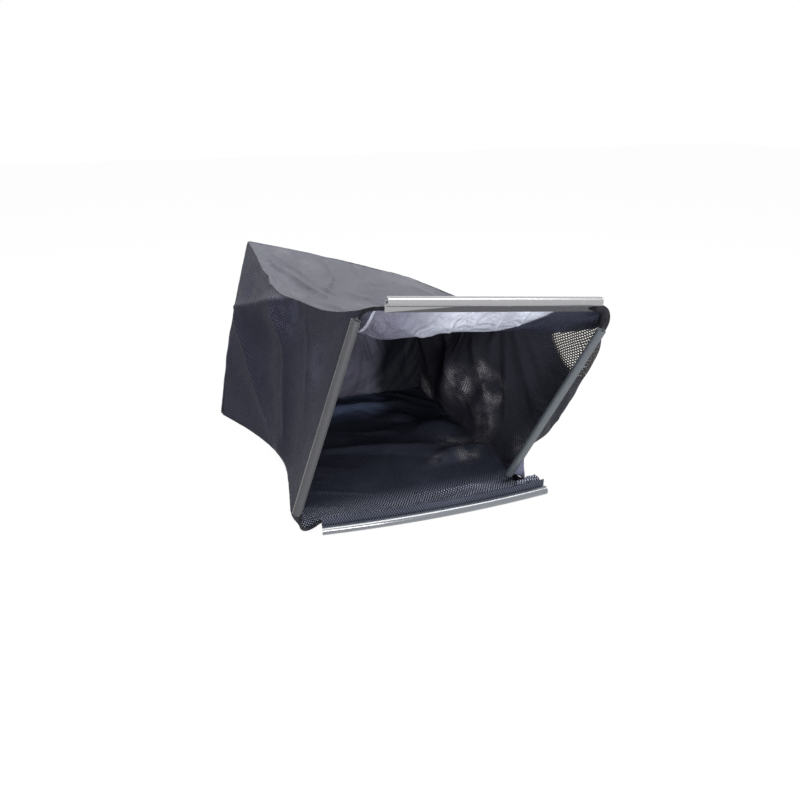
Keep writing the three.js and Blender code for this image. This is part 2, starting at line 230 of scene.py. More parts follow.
# The floor's mesh where it is turned up over the bottom channel's flange.
meshLook["hem"] = {**meshLook["floor"], "along": "z", "patches": [], "pitch": (0.0042, 0.0068)}
meshInside["hem"] = {**meshInside["floor"], "front": {"band": (-0.2, -0.14), "hole": (0.15, 0.165, 0.215)}}

# The weave stands between -1 and 1, and is open where it rises above an edge.
weaveLook = {
    "closedEdge": 1.02, "opened": 0.34, "patchCore": 0.3, "wander": 0.008, "contrast": 1.6,
    "shownCore": 0.2, "shownGain": 0.9, "shownGlint": 3, "ridgeSlope": 0.33,
}


def meshCloth(name, values):
    material, coords, surface = newMaterial(name + "Mesh")
    axes = axesOf(coords)
    wander = (coords.noise(9, 2) - 0.5) * weaveLook["wander"]
    a = (axes[values["across"]] + wander) * (2 * math.pi / values["pitch"][0])
    b = (axes[values["along"]] + wander) * (2 * math.pi / values["pitch"][1])
    weave = a.cos() * b.cos()
    patchy = coords.noise(24, 4, 0.65).smooth(0.38, 0.6)
    edge = weaveLook["closedEdge"]
    dusty = coords.noise(7, 4).smooth(0.42, 0.68)
    threads = mixColours(dusty, opaque(values["thread"]), opaque(values["dust"]))
    # Painted highlight: the facet above the slanting ridge is painted lighter, as if lit from above.
    if values["lit"]:
        slope = (axes["z"] + axes["y"] * weaveLook["ridgeSlope"]).smooth(*values["lit"]["edge"])
        threads = mixColours(slope, threads, opaque(values["lit"]["colour"]))
    shown = values["weave"]
    if values["shown"]:
        places = sum(coords.near(place, reach, weaveLook["shownCore"]) for place, reach in values["shown"])
        more = places * patchy * weaveLook["shownGain"]
        shown = more + shown
        # Painted glint: the threads in the shown places are painted lighter.
        threads = mixColours(more * weave.smooth(-0.9, 0.1), threads,
                             opaque(values["dust"], weaveLook["shownGlint"]))
    # Painted light: the threads in the stretched patches are painted lighter, as the bright ground seen
    # through the open mesh.
    if values["patches"]:
        places = sum(coords.near(place, reach, weaveLook["patchCore"]) for place, reach in values["patches"])
        stretched = places * patchy
        edge = edge - stretched * weaveLook["opened"]
        threads = mixColours(stretched * weave.smooth(0.3, -0.5), threads, opaque(values["stretched"]))
    # Painted shade: the holes are painted dark, as the shade seen through the mesh. In the floor's front band
    # they are painted light, the lit ground seen through it.
    holes = opaque(values["hole"])
    if "front" in values:
        front = 1 - axes["y"].smooth(*values["front"]["band"])
        holes = mixColours(front, holes, opaque(values["front"]["hole"]))
    if "stained" in values:
        stained = values["stained"]
        streaks = coords.noise(34, 4, 0.6, (0.25, 1, 1), 0.25).smooth(0.35, 0.65)
        place = axes["y"].smooth(*stained["band"]) * (1 - axes["x"].smooth(*stained["side"]))
        threads = mixColours(place * (0.3 + streaks * 0.7), threads, opaque(stained["colour"]))
    # Painted light: round the wide-open place the threads are painted lighter, beige on the inside, as the
    # bright ground seen through the open mesh.
    if values["wide"]:
        wide = coords.near(values["wide"]["place"], values["wide"]["reach"])
        edge = edge - wide * (edge - values["wide"]["edge"])
        threads = mixColours(wide, threads, opaque(values["wide"]["thread"]))
    # Painted shade: a dark band along the back edge.
    if values["rim"]:
        rim = axes["y"].smooth(*values["rim"]["edge"])
        threads = mixColours(rim, threads, opaque(values["rim"]["colour"]))
    surface(Base_Color=mixColours(weave.smooth(0.0, 0.6) * shown * weaveLook["contrast"], threads, holes),
            Roughness=0.6 + coords.noise(60) * 0.2,
            Alpha=1 - (weave > edge),
            Normal=(1 - weave).bump(0.5, 0.0007),
            Specular_IOR_Level=0.15)
    return material


mesh = {name: meshCloth(name, values) for name, values in meshLook.items()}
innerMesh = {name: meshCloth(name + "Inside", {**meshLook[name], "shown": [], **values})
             for name, values in meshInside.items()}

coatedLook = {"outside": (0.14, 0.144, 0.17), "faded": (0.19, 0.194, 0.22), "weave": 0.0011}


# Coated cloth seen from its woven outside.
def wovenOutside(name, across, along, values):
    material, coords, surface = newMaterial(name)
    axes = axesOf(coords)
    yarns = (axes[across] * (2 * math.pi / values["weave"])).cos()
    yarns = yarns * (axes[along] * (2 * math.pi / values["weave"])).cos()
    faded = coords.noise(5, 5, 0.6).smooth(0.38, 0.68)
    fine = coords.creases(17, (0.5, 1, 1), 0.5)
    creases = coords.noise(14, 5, 0.6, (1, 0.28, 1), 0.62) * 5
    creases = creases + coords.creases(9, (1, 0.45, 1), 0.7) + fine * 0.6
    # Lighter in patches along the fine creases.
    worn = (1 - fine) * coords.noise(30).smooth(0.4, 0.6)
    colour = mixColours(faded, opaque(values["outside"]), opaque(values["faded"]))
    surface(Base_Color=mixColours(worn * 0.3, colour, opaque(values["faded"], 1.35)),
            Roughness=0.5 + coords.noise(40) * 0.25,
            Normal=creases.bump(0.6, 0.003, yarns.bump(0.2, 0.0003)),
            Specular_IOR_Level=0.25, Sheen_Weight=0.08, Sheen_Roughness=0.5)
    return material


# The lining is painted light near the top channel and painted shade towards the left, is painted
# dark at the right with painted shade, and changes to a mesh gusset with a light seam at the left
# corner of the mouth.
liningLook = {
    "paintedLight": (0.82, 0.86, 1.0), "paintedShade": (0.2, 0.2, 0.27), "paintedShadeBand": (-0.07, 0.05),
    "rightShade": (0.045, 0.05, 0.08), "rightShadeBand": (0.072, 0.082), "rightShadeSlope": 0.45,
    "gusset": (0.12, 0.12, 0.17), "gussetHole": (0.03, 0.03, 0.045), "gussetEdge": -0.1035,
    "seam": (0.6, 0.62, 0.75), "seamEdge": -0.1, "gussetPitch": 0.0036,
}


def coatedLining(values):
    material, coords, surface = newMaterial("lining")
    axes = axesOf(coords)
    # Painted light and shade: bright near the top channel, darker towards the left.
    paintedLightShare = axes["x"].smooth(*values["paintedShadeBand"])
    stain = coords.noise(22, 5, 0.65).smooth(0.36, 0.66)
    colour = mixColours(paintedLightShare * (1 - stain * 0.45), opaque(values["paintedShade"]), opaque(values["paintedLight"]))
    # Painted shade: the lining is painted dark at the right.
    rightShade = (axes["x"] + axes["y"] * values["rightShadeSlope"]).smooth(*values["rightShadeBand"])
    colour = mixColours(rightShade, colour, opaque(values["rightShade"]))
    colour = mixColours(axes["x"] > values["seamEdge"], opaque(values["seam"]), colour)
    weave = (axes["x"] * (2 * math.pi / values["gussetPitch"])).cos()
    weave = weave * (axes["z"] * (2 * math.pi / (values["gussetPitch"] * math.sqrt(3)))).cos()
    gusset = mixColours(weave.smooth(0, 0.5), opaque(values["gusset"]), opaque(values["gussetHole"]))
    colour = mixColours(axes["x"] > values["gussetEdge"], gusset, colour)
    creases = coords.noise(34, 5, 0.6, (1, 0.5, 0.5)) * 4 + coords.creases(20, (1, 0.35, 0.35), 0.4, 0.12)
    surface(Base_Color=colour,
            Roughness=0.32 + stain * 0.2,
            Normal=creases.bump(0.9, 0.003),
            Specular_IOR_Level=0.35)
    return material


# The back panel's inside: lit and greyish on the left, in the dark on the right.
backLook = {"lit": (0.15, 0.148, 0.205), "shaded": (0.012, 0.013, 0.02), "band": (0.03, 0.075)}


def backInside(values):
    material, coords, surface = newMaterial("backLining")
    axes = axesOf(coords)
    shaded = axes["x"].smooth(*values["band"])
    stain = coords.noise(12, 5, 0.6).smooth(0.35, 0.7)
    lit = mixColours(stain, opaque(values["lit"]), opaque(values["lit"], 0.6))
    creases = coords.noise(15, 4, 0.6, (1, 1, 0.4)) * 4 + coords.creases(12, (1, 1, 0.5), 0.0, 0.09)
    surface(Base_Color=mixColours(shaded, lit, opaque(values["shaded"])),
            Roughness=0.5 + stain * 0.2,
            Normal=creases.bump(0.9, 0.004),
            Specular_IOR_Level=0.12)
    return material


topCloth = wovenOutside("topCloth", "x", "y", coatedLook)
backCloth = wovenOutside("backCloth", "x", "z", coatedLook)
lining = coatedLining(liningLook)
cornerLook = {"outside": (0.13, 0.13, 0.2), "faded": (0.2, 0.2, 0.29), "weave": 0.0012}
cornerLining = wovenOutside("cornerLining", "x", "z", cornerLook)
backLining = backInside(backLook)

tapeLook = {"colour": (0.008, 0.008, 0.011), "worn": (0.028, 0.028, 0.036), "rib": 0.0011}


def wovenTape(name, values):
    material, coords, surface = newMaterial(name)
    axes = axesOf(coords)
    ribs = ((axes["x"] + axes["y"] * 0.7 + axes["z"]) * (2 * math.pi / values["rib"])).cos()
    worn = coords.noise(45, 4).smooth(0.4, 0.7)
    surface(Base_Color=mixColours(worn, opaque(values["colour"]), opaque(values["worn"])),
            Roughness=0.75 + coords.noise(60) * 0.15,
            Normal=ribs.bump(0.4, 0.0005),
            Specular_IOR_Level=0.2)
    return material


tape = wovenTape("tape", tapeLook)

channelLook = {
    "top": {"colour": (0.2, 0.2, 0.21), "scuffed": (0.28, 0.28, 0.29), "run": (1, 40, 40),
            "coat": 1.0, "gloss": 1.8},
    "bottom": {"colour": (0.07, 0.083, 0.105), "scuffed": (0.13, 0.14, 0.16), "run": (1, 40, 40),
               "coat": 1.0, "gloss": 1.8},
    "left": {"colour": (0.07, 0.071, 0.078), "scuffed": (0.095, 0.095, 0.103), "run": (40, 40, 1),
             "coat": 0.1, "gloss": 1.4},
    "right": {"colour": (0.09, 0.105, 0.12), "scuffed": (0.14, 0.155, 0.17), "run": (40, 40, 1),
              "coat": 0.4, "gloss": 1.5},
}


# Extruded plastic, with scuffs and faint streaks along its run. "gloss" is the index of refraction.
def extrudedPlastic(name, values):
    material, coords, surface = newMaterial(name)
    streaks = coords.noise(4, 4, 0.6, values["run"])
    scuffs = coords.noise(70, 5, 0.7).smooth(0.52, 0.72)
    surface(Base_Color=mixColours(scuffs * 0.4, opaque(values["colour"]), opaque(values["scuffed"])),
            Roughness=0.2 + streaks * 0.08 + scuffs * 0.04,
            Normal=streaks.bump(0.03, 0.0003),
            IOR=values["gloss"], Coat_Weight=values["coat"], Coat_Roughness=0.1, Coat_IOR=values["gloss"])
    return material


channelPlastic = {side: extrudedPlastic(side + "Plastic", values) for side, values in channelLook.items()}
print("materials made")


# The CAD nodes' shapes as one merged copy.
def nodeCopy(*nodes):
    bm = bmesh.new()
    for node in nodes:
        bm.from_mesh(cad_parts[node].data)
    bmesh.ops.remove_doubles(bm, verts=bm.verts, dist=2e-5)
    return bm


def finished(bm, name, slotName, *materials):
    data = bpy.data.meshes.new(name)
    bm.to_mesh(data)
    bm.free()
    for material in materials:
        data.materials.append(material)
    piece = bpy.data.objects.new(name, data)
    bpy.context.scene.collection.objects.link(piece)
    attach(piece, "root")
    return piece


# The mesh after a modifier that setUp adds, with the frames that it needs played.
def modified(bm, kind, setUp, frames=0):
    data = bpy.data.meshes.new("work")
    bm.to_mesh(data)
    bm.free()
    work = bpy.data.objects.new("work", data)
    bpy.context.scene.collection.objects.link(work)
    setUp(work, work.modifiers.new("work", kind))
    for number in range(1, frames + 1):
        bpy.context.scene.frame_set(number)
    result = bmesh.new()
    result.from_mesh(work.evaluated_get(bpy.context.evaluated_depsgraph_get()).to_mesh())
    bpy.data.objects.remove(work)
    bpy.data.meshes.remove(data)
    if frames:
        bpy.context.scene.frame_set(1)
    return result


def subdivided(bm, levels):
    def setUp(work, smoother):
        smoother.levels = smoother.render_levels = levels
        smoother.boundary_smooth = "PRESERVE_CORNERS"
    return modified(bm, "SUBSURF", setUp)


def smoothFaces(bm):
    for face in bm.faces:
        face.smooth = True


# The groups of faces that hang together, always in the same order.
def islandsOf(bm):
    islands = []
    seen = set()
    for start in bm.faces:
        if start in seen:
            continue
        seen.add(start)
        island = [start]
        for face in island:
            for edge in face.edges:
                for other in edge.link_faces:
                    if other not in seen:
                        seen.add(other)
                        island.append(other)
        islands.append(island)
    return islands


# The faces at a CAD sheet's rim are narrower than "rimWidth". "backCorner" and "mouthCorner" are how
# far past a seam's ends the sheets meet, and "endDepth" is how much of a seam counts as its end.
sheetLook = {
    "rimWidth": 0.0016, "seamDepth": 0.0018, "wall": 0.0008, "floorGap": 0.0001, "levels": 2,
    "cornerReach": 0.02, "backCorner": 0.0035, "mouthCorner": -0.003, "endDepth": 0.0015, "foldFade": 0.012,
}
seamSides = ("top_left", "top_right", "bottom_left", "bottom_right")
trimShapes = nodeCopy("mouth_binding", "back_piping", *(side + "_seam" for side in seamSides))
trimTree = BVHTree.FromBMesh(trimShapes)
trimShapes.free()
cornerPlaces = []
for side in seamSides:
    seamShape = nodeCopy(side + "_seam")
    ends = [max(v.co.y for v in seamShape.verts), min(v.co.y for v in seamShape.verts)]
    for end, reach in zip(ends, (sheetLook["backCorner"], sheetLook["mouthCorner"])):
        ring = [v.co for v in seamShape.verts if abs(v.co.y - end) < sheetLook["endDepth"]]
        cornerPlaces.append(sum(ring, Vector()) / len(ring) + Vector((0, reach, 0)))
    seamShape.free()


# Where a seam has drawn up and crinkled the cloth beside it: place, reach, height and fineness.
crinkles = [
    ((-0.195, 0.16, 0.32), 0.075, 0.0055, 48),
    ((-0.15, 0.02, 0.29), 0.06, 0.003, 40),
    ((-0.05, 0.285, 0.36), 0.16, 0.004, 20),
    ((0.13, 0.28, 0.33), 0.14, 0.004, 20),
    ((-0.27, 0.275, 0.18), 0.14, 0.0025, 30),
]


# Moves every piece by the same field, so that sheets and seams stay joined.
def crinkled(bm):
    for vert in bm.verts:
        moved = Vector()
        for place, reach, height, fineness in crinkles:
            away = (vert.co - Vector(place)).length / reach
            if away < 1:
                moved += noise.noise_vector(vert.co * fineness) * height * (1 - away * away) ** 2
        vert.co += moved


# Pulls the nearest edge point of a sheet into each corner, so that the sheets meet there.
def sewCorners(bm):
    rim = [vert for vert in bm.verts if vert.is_boundary]
    for corner in cornerPlaces:
        nearest = min(rim, key=lambda vert: (vert.co - corner).length)
        if (nearest.co - corner).length < sheetLook["cornerReach"]:
            nearest.co = corner


# Puts the open edge of a sheet inside the seam or binding that it is sewn into.
def sewEdge(bm):
    for vert in bm.verts:
        if vert.is_boundary:
            place, normal = trimTree.find_nearest(vert.co)[:2]
            vert.co = place - normal * sheetLook["seamDepth"]
    sewCorners(bm)


# The same mesh with its edges and faces in a fixed order, since an extrusion leaves them in a chance
# one, and the cloth would settle a little differently in each run.
def inOrder(bm):
    bm.verts.index_update()
    fresh = bmesh.new()
    spots = [fresh.verts.new(vert.co) for vert in bm.verts]
    rings = []
    for face in bm.faces:
        ring = [vert.index for vert in face.verts]
        first = ring.index(min(ring))
        rings.append(ring[first:] + ring[:first])
    for ring in sorted(rings):
        fresh.faces.new([spots[number] for number in ring])
    bm.free()
    return fresh


# The outer side of a CAD cloth sheet as an open grid that reaches its seams.
def outerSide(node, middle):
    bm = nodeCopy(node)
    rims = [f for f in bm.faces if min(e.calc_length() for e in f.edges) < sheetLook["rimWidth"]]
    bmesh.ops.delete(bm, geom=rims, context="FACES")
    islands = sorted(islandsOf(bm), key=lambda faces: sum(
        f.calc_area() * f.normal.dot(f.calc_center_median() - middle) for f in faces))
    bmesh.ops.delete(bm, geom=[f for faces in islands[:-1] for f in faces], context="FACES")
    bmesh.ops.join_triangles(bm, faces=bm.faces, angle_face_threshold=1.0, angle_shape_threshold=1.2)
    bmesh.ops.extrude_edge_only(bm, edges=[e for e in bm.edges if e.is_boundary])
    bm = inOrder(bm)
    sewEdge(bm)
    return bm


bagMiddle = sum((Vector(corner) for corner in cadBox), Vector()) / 2

# Folds are (from, to, height, width) and lumps (place, height, reach), with places along the
# panel's two axes, in metres. A height above 0 stands out of the bag, and one below 0 into it.
# Ripples and lumps fade out within "fade" of the panel's edge. A panel with "settle" is simulated:
# "slack" is the share by which it grows, "fall" its share of gravity, and "cap" the farthest that a
# point moves.
panels = {
    "topPanel": {
        "node": "top_panel", "slot": "coated_cloth", "axes": (0, 1), "materials": (topCloth, lining),
        "ripple": 0.002, "rippleStretch": (11, 20, 9), "fade": 0.02,
        "settle": {"slack": 0.014, "fall": 0.6, "cap": 0.008},
        "folds": [
            ((-0.19, 0.195), (-0.095, 0.1), 0.013, 0.0055),
            ((-0.17, 0.215), (-0.075, 0.115), 0.012, 0.005),
            ((-0.14, 0.2), (-0.085, 0.12), -0.009, 0.006),
            ((-0.073, 0.241), (-0.06, 0.19), 0.009, 0.004),
            ((-0.06, 0.19), (-0.085, 0.13), 0.008, 0.005),
            ((-0.04, 0.14), (0.04, 0.06), 0.006, 0.006),
            ((-0.26, 0.26), (-0.2, 0.2), 0.006, 0.006),
            ((-0.185, 0.16), (-0.16, 0.1), 0.006, 0.005),
            ((-0.16, 0.1), (-0.13, 0.06), -0.006, 0.005),
            ((-0.115, 0.08), (-0.07, 0.02), 0.007, 0.006),
            ((-0.12, 0.03), (0.03, -0.05), 0.005, 0.008),
            ((0.02, 0.2), (-0.02, 0.08), 0.006, 0.009),
            ((0.1, 0.22), (0.16, 0.05), 0.005, 0.01),
            ((0.06, -0.235), (0.075, -0.17), -0.006, 0.006),
            ((0.1, -0.24), (0.12, -0.17), -0.007, 0.006),
            ((0.14, -0.24), (0.15, -0.19), -0.007, 0.006),
            ((0.02, -0.235), (0.045, -0.16), -0.005, 0.006),
            ((-0.05, -0.22), (0.02, -0.15), -0.005, 0.007),
        ],
        "lumps": [],
    },
    "backPanel": {
        "node": "back_panel", "slot": "coated_cloth", "axes": (0, 2), "materials": (backCloth, backLining),
        "ripple": 0.004, "rippleStretch": (16, 9, 8), "fade": 0.03,
        "settle": {"slack": 0.02, "fall": 1.0, "cap": 0.012},
        "folds": [
            ((-0.02, 0.24), (0.04, 0.08), -0.012, 0.006),
            ((0.02, 0.24), (0.07, 0.1), -0.012, 0.006),
            ((0.0, 0.16), (0.05, 0.2), -0.01, 0.006),
            ((-0.06, 0.26), (0.0, 0.06), 0.006, 0.01),
            ((0.0, 0.2), (0.09, 0.14), -0.009, 0.006),
        ],
        "lumps": [],
    },
    "leftPanel": {
        "node": "left_panel", "slot": "mesh_cloth", "axes": (1, 2),
        "materials": (mesh["left"], innerMesh["left"]),
        "ripple": 0.0012, "rippleStretch": (8, 9, 5), "fade": 0.02,
        "settle": None,
        "folds": [
            ((0.257, 0.235), (0.187, 0.259), 0.009, 0.01),
            ((0.187, 0.259), (0.067, 0.297), 0.009, 0.01),
            ((0.257, 0.235), (0.105, 0.065), 0.006, 0.006),
            ((0.105, 0.065), (0.03, 0.01), 0.004, 0.008),
            ((0.1, 0.29), (0.045, 0.2), 0.006, 0.006),
            ((0.045, 0.2), (0.0, 0.06), 0.005, 0.007),
            ((-0.02, 0.28), (-0.09, 0.12), 0.003, 0.01),
        ],
        "lumps": [((0.17, 0.19), -0.007, 0.045), ((0.0, 0.24), -0.004, 0.05)],
    },
    "rightPanel": {
        "node": "right_panel", "slot": "mesh_cloth", "axes": (1, 2),
        "materials": (mesh["right"], innerMesh["right"]),
        "ripple": 0.004, "rippleStretch": (13, 13, 11), "fade": 0.05,
        "settle": {"slack": 0.02, "fall": 1.0, "cap": 0.01},
        "folds": [
            ((0.2, 0.2), (0.02, 0.06), -0.012, 0.02),
            ((0.05, 0.2), (-0.04, 0.05), -0.008, 0.016),
        ],
        "lumps": [((0.1, 0.08), -0.018, 0.045), ((0.0, 0.07), -0.014, 0.035), ((0.2, 0.07), -0.018, 0.04)],
    },
    "bottomPanel": {
        "node": "bottom_panel", "slot": "mesh_cloth", "axes": (0, 1),
        "materials": (mesh["floor"], innerMesh["floor"]),
        "ripple": 0.0015, "rippleStretch": (8, 8, 8), "fade": 0.03,
        "settle": {"slack": 0.016, "fall": 0.0, "cap": 0.009},
        "folds": [
            ((-0.2, 0.215), (0.07, 0.205), -0.014, 0.02),
            ((-0.17, 0.045), (0.08, -0.02), -0.008, 0.014),
            ((-0.17, -0.115), (-0.06, -0.165), -0.01, 0.009),
            ((-0.06, -0.165), (0.12, -0.205), -0.009, 0.009),
            ((-0.12, 0.12), (0.02, 0.06), -0.006, 0.012),
        ],
        "lumps": [((0.11, 0.05), -0.02, 0.045), ((0.1, -0.06), -0.012, 0.03), ((0.06, 0.13), -0.012, 0.035)],
    },
}


# How far a fold stands out at a place: a rounded ridge that thins out at both ends.
def foldHeight(place, fold):
    start, end, height, width = fold
    start, end = Vector(start), Vector(end)
    run = end - start
    share = max(0.0, min(1.0, (place - start).dot(run) / run.length_squared))
    distance = (place - start - run * share).length
    taper = math.sin(math.pi * (0.15 + 0.7 * share))
    return height * taper / (1 + (distance / width) ** 2) ** 1.5


def lumpHeight(place, lump):
    middle, height, reach = lump
    return height * math.exp(-((place - Vector(middle)).length / reach) ** 2)


settleLook = {"frames": 22, "quality": 5, "mass": 0.05, "bending": 0.05, "still": 1e-6}


# Lets a sheet that is held at its edge settle with a little slack, so that it creases as cloth does.
def settled(bm, slack, fall, cap):
    before = [vert.co.copy() for vert in bm.verts]
    held = [vert.index for vert in bm.verts if vert.is_boundary]

    def setUp(work, cloth):
        group = work.vertex_groups.new(name="held")
        group.add(held, 1.0, "REPLACE")
        settings = cloth.settings
        settings.vertex_group_mass = "held"
        settings.shrink_min = -slack
        settings.quality = settleLook["quality"]
        settings.mass = settleLook["mass"]
        settings.bending_stiffness = settleLook["bending"]
        settings.effector_weights.gravity = fall
        cloth.collision_settings.use_collision = False
        cloth.point_cache.frame_start = 1
        cloth.point_cache.frame_end = settleLook["frames"]
    after = modified(bm, "CLOTH", setUp, settleLook["frames"])
    after.verts.ensure_lookup_table()
    for vert, place in zip(after.verts, before):
        moved = vert.co - place
        if moved.length > settleLook["still"]:
            vert.co = place + moved * (cap * math.tanh(moved.length / cap) / moved.length)
    return after


# The open edges of a mesh, as thin triangles for a nearest-point tree.
def rimStrips(bm):
    points, strips = [], []
    for edge in bm.edges:
        if edge.is_boundary:
            first, second = (v.co.copy() for v in edge.verts)
            points += [first, second, (first + second) / 2 + Vector((1e-6, 1e-6, 1e-6))]
            strips.append((len(points) - 3, len(points) - 2, len(points) - 1))
    return points, strips


# A panel gets its lumps and ripples, settles as cloth, and then gets its folds, crinkles and wall.
def makePanel(name, values):
    bm = subdivided(outerSide(values["node"], bagMiddle), sheetLook["levels"])
    sewEdge(bm)
    bm.normal_update()
    bm.verts.index_update()
    rim = BVHTree.FromPolygons(*rimStrips(bm))
    a, b = values["axes"]
    heights = []
    for vert in bm.verts:
        keep = min(1.0, rim.find_nearest(vert.co)[3] / values["fade"])
        keep *= keep * (3 - 2 * keep)
        place = Vector((vert.co[a], vert.co[b]))
        height = sum(lumpHeight(place, lump) for lump in values["lumps"])
        stretched = Vector(c * s for c, s in zip(vert.co, values["rippleStretch"]))
        heights.append(keep * (height + values["ripple"] * noise.fractal(stretched, 0.9, 2.0, 3)))
    for vert, height in zip(bm.verts, heights):
        vert.co += vert.normal * height
    if values["settle"]:
        bm = settled(bm, **values["settle"])
    bm = subdivided(bm, 1)
    bm.normal_update()
    for vert in bm.verts:
        keep = min(1.0, rim.find_nearest(vert.co)[3] / sheetLook["foldFade"])
        place = Vector((vert.co[a], vert.co[b]))
        vert.co += vert.normal * keep * sum(foldHeight(place, fold) for fold in values["folds"])
        vert.co.z = max(vert.co.z, sheetLook["wall"] + sheetLook["floorGap"])
    sewCorners(bm)
    crinkled(bm)
    smoothFaces(bm)
    area = sum(face.calc_area() for face in bm.faces)
    piece = finished(bm, name, values["slot"], *values["materials"])
    wall = piece.modifiers.new("wall", "SOLIDIFY")
    wall.thickness = sheetLook["wall"]
    wall.offset = -1
    wall.material_offset = 1
    wall.material_offset_rim = 0
    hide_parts(values["node"])
    low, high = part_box(values["node"])
    width, length = high[a] - low[a], high[b] - low[b]
    length = max(length, area / width)
    print(name, "made,", round(area, 4), "square metres")


for name, values in panels.items():
    makePanel(name, values)

# Growth of each trim in metres, how it is roughened, and the place where the binding bunches up.
trimLook = {
    "seam": -0.0013, "piping": -0.0012, "binding": 0.0006, "crumple": 0.0005, "fineness": 160,
    "bunch": 0.005, "bunchPlace": (0.273, -0.256, 0.315), "bunchReach": 0.032,
}


# A CAD seam, grown or drawn in, and roughened. One that grows also bunches up.
def makeTrim(name, node, material, growth, levels):
    bm = subdivided(nodeCopy(node), levels)
    bm.normal_update()
    for vert in bm.verts:
        bunched = trimLook["bunch"] * math.exp(
            -((vert.co - Vector(trimLook["bunchPlace"])).length / trimLook["bunchReach"]) ** 2)
        rough = trimLook["crumple"] * noise.noise(vert.co * trimLook["fineness"])
        vert.co += vert.normal * (growth + rough + (bunched if growth > 0 else 0))
        vert.co.z = max(vert.co.z, 0.0)
    crinkled(bm)
    smoothFaces(bm)
    piece = finished(bm, name, "tape", material)
    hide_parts(node)


for side in seamSides:
    first, second = side.split("_")
    material = tape if first == "bottom" else topCloth
    makeTrim(first + second.title() + "Seam", side + "_seam", material, trimLook["seam"], 1)
makeTrim("backPiping", "back_piping", topCloth, trimLook["piping"], 1)
makeTrim("mouthBinding", "mouth_binding", tape, trimLook["binding"], 2)
print("seams made")

# Loose cloth at the bottom right corner of the mouth: corners in order round the piece, the number
# of cells each way, how far and how finely it crumples, and how much longer than wide it was cut.
scraps = {
    "cornerMesh": {
        "corners": ((0.146, -0.236, 0.02), (0.198, -0.238, 0.013), (0.188, -0.222, 0.03),
                    (0.15, -0.224, 0.026)),
        "cells": (22, 12), "crumple": 0.0045, "fineness": 75, "longer": 1.6, "lowest": 0.002,
        "slot": "mesh_cloth", "material": innerMesh["floor"], "held": "gathered", "restsOn": "bottomPanel",
    },
    "cornerLining": {
        "corners": ((0.157, -0.203, 0.026), (0.18, -0.203, 0.012), (0.178, -0.2, 0.05), (0.166, -0.2, 0.064)),
        "cells": (10, 14), "crumple": 0.0015, "fineness": 60, "longer": 1.1, "lowest": 0.002,
        "slot": "coated_cloth", "material": cornerLining, "held": "stretched", "restsOn": "rightPanel",
    },
}


def makeScrap(name, values):
    bm = bmesh.new()
    across, along = values["cells"]
    bmesh.ops.create_grid(bm, x_segments=across, y_segments=along, size=0.5)
    corners = [Vector(corner) for corner in values["corners"]]
    for vert in bm.verts:
        u, v = vert.co.x + 0.5, vert.co.y + 0.5
        low = corners[0].lerp(corners[1], u)
        high = corners[3].lerp(corners[2], u)
        place = low.lerp(high, v)
        vert.co = place + noise.noise_vector(place * values["fineness"]) * values["crumple"]
        vert.co.z = max(vert.co.z, values["lowest"])
    area = sum(face.calc_area() for face in bm.faces)
    smoothFaces(bm)
    piece = finished(bm, name, values["slot"], values["material"], values["material"])
    wall = piece.modifiers.new("wall", "SOLIDIFY")
    wall.thickness = sheetLook["wall"]
    wall.offset = 0
    width = math.sqrt(area)
    width * values["longer"]


for name, values in scraps.items():
    makeScrap(name, values)
print("corner cloth made")

# The sewing flange lies beyond a point, in a direction, and has a cover of its own.
channels = {
    "top": {
        "nodes": ["top_channel_left", "top_channel_right"], "slot": "channel",
        "flange": {"beyond": (0.083, -0.262, 0.3482), "towards": (-0.092, 0, -1),
                   "cover": channelPlastic["left"]},
    },
    "bottom": {
        "nodes": ["bottom_channel_left", "bottom_channel_right"], "slot": "channel",
        "flange": {"beyond": (0, -0.25, 0.0158), "towards": (0, 0, 1), "cover": innerMesh["hem"]},
    },
    "left": {"nodes": ["left_channel"], "slot": "dark_channel", "flange": None},
    "right": {"nodes": ["right_channel"], "slot": "dark_channel", "flange": None},
}
channelEdges = {"weld": 3e-4, "buttReach": 0.003, "bevel": 0.0003, "sharpest": math.radians(40)}


# The CAD channel with softened edges. Where it is two butted lengths, they become one.
def makeChannel(side, values):
    bm = nodeCopy(*values["nodes"])
    if len(values["nodes"]) > 1:
        corners = [Vector(corner) for node in values["nodes"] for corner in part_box(node)]
        middle = sum(corners, Vector()) / len(corners)
        butts = [face for face in bm.faces if abs(face.normal.x) > 0.9
                 and abs(face.calc_center_median().x - middle.x) < channelEdges["buttReach"]]
        bmesh.ops.delete(bm, geom=butts, context="FACES_ONLY")
        bmesh.ops.remove_doubles(bm, verts=bm.verts, dist=channelEdges["weld"])
    smoothFaces(bm)
    for edge in bm.edges:
        edge.smooth = len(edge.link_faces) != 2 or edge.calc_face_angle(0) < channelEdges["sharpest"]
    materials = [channelPlastic[side]]
    flange = values["flange"]
    if flange:
        for face in bm.faces:
            offset = face.calc_center_median() - Vector(flange["beyond"])
            face.material_index = int(offset.dot(Vector(flange["towards"])) > 0)
        materials.append(flange["cover"])
    piece = finished(bm, side + "Channel", values["slot"], *materials)
    softened = piece.modifiers.new("softened", "BEVEL")
    softened.width = channelEdges["bevel"]
    softened.segments = 2
    softened.limit_method = "ANGLE"
    softened.angle_limit = channelEdges["sharpest"]
    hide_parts(*values["nodes"])


for side, values in channels.items():
    makeChannel(side, values)
print("channels made")

# "white" is how much of the floor the camera sees as plain white, and "glow" that white's strength.
stageLook = {"floor": 6.0, "drop": 0.0005, "world": 0.3, "white": 0.9, "glow": 1.06}


# 1 for the rays that see the background itself, or through or off something shiny.
def seenRays(wire):
    rays = wire.make("ShaderNodeLightPath", output="Is Camera Ray")
    shiny = rays.math("MAXIMUM", rays.out("Is Glossy Ray"), rays.out("Is Transmission Ray"))
    return rays.math("MAXIMUM", rays, shiny)


